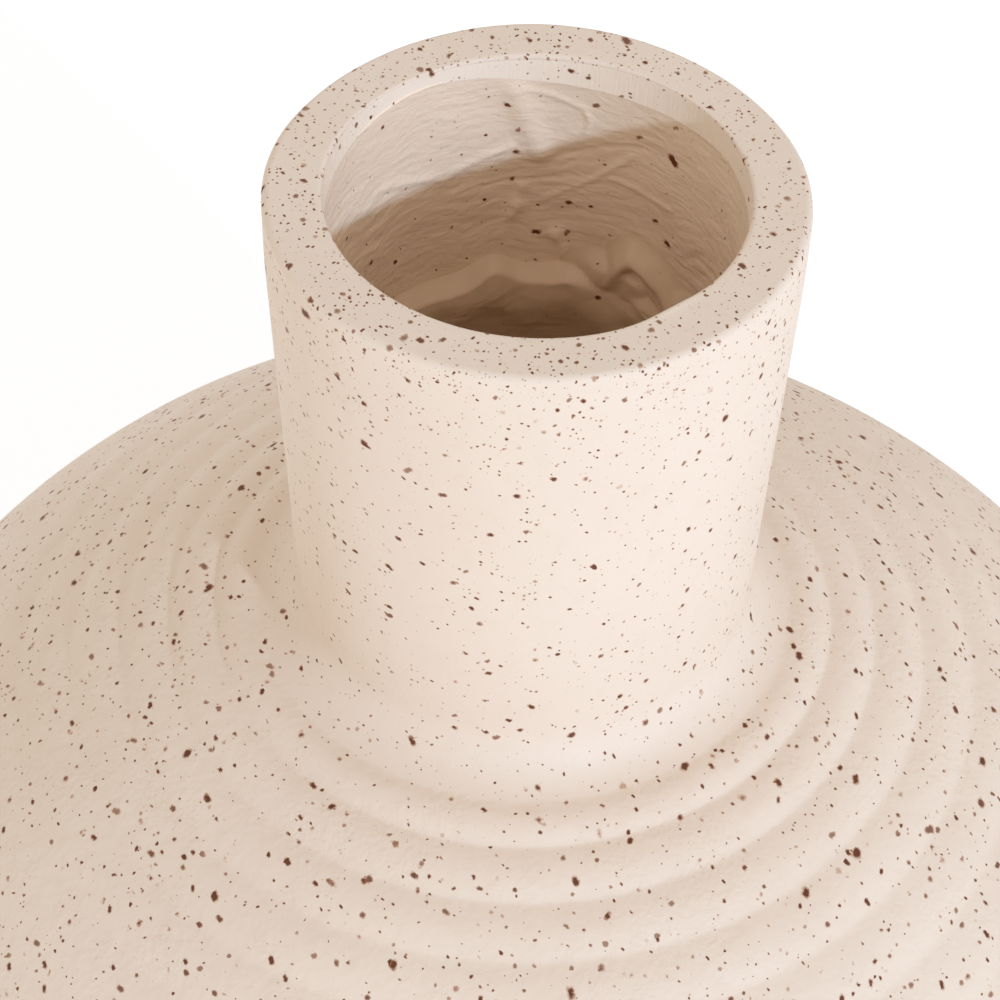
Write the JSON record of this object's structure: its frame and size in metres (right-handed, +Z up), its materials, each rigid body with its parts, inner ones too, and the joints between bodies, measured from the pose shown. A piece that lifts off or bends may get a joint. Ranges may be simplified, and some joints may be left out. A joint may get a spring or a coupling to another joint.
{
  "type": "stoneware vase",
  "caption": "Round-bodied stoneware vase with a tall straight neck, a thick flat rim, a rolled coil shoulder and a low foot ring, in matt cream with brown speckles.",
  "frame": {"origin": "centre of the underside of the foot ring, on the surface that the vase stands on", "axes": "+Z up along the vase's axis of revolution, through the mouth; +X and +Y level, no preferred direction"},
  "size_m": [0.3, 0.3, 0.3695],
  "materials": {
    "speckled_cream": "matt glaze with brown iron speckles",
    "inner_slip": "matt, smeared slip",
    "bare_clay": "matt, unglazed"
  },
  "bodies": {
    "root": {"foot_ring": "bare_clay", "floor_slab": "speckled_cream", "floor_seam": "inner_slip", "lower_bowl": "speckled_cream", "waist_seam": "inner_slip", "upper_bowl": "speckled_cream", "shoulder_coil_1": "speckled_cream", "shoulder_coil_2": "speckled_cream", "shoulder_coil_3": "speckled_cream", "shoulder_coil_4": "speckled_cream", "shoulder_coil_5": "speckled_cream", "shoulder_coil_6": "speckled_cream", "collar_seam": "inner_slip", "lower_neck": "speckled_cream", "neck_seam": "inner_slip", "upper_neck": "speckled_cream", "rim_ring": "speckled_cream"}
  },
  "joints": []
}
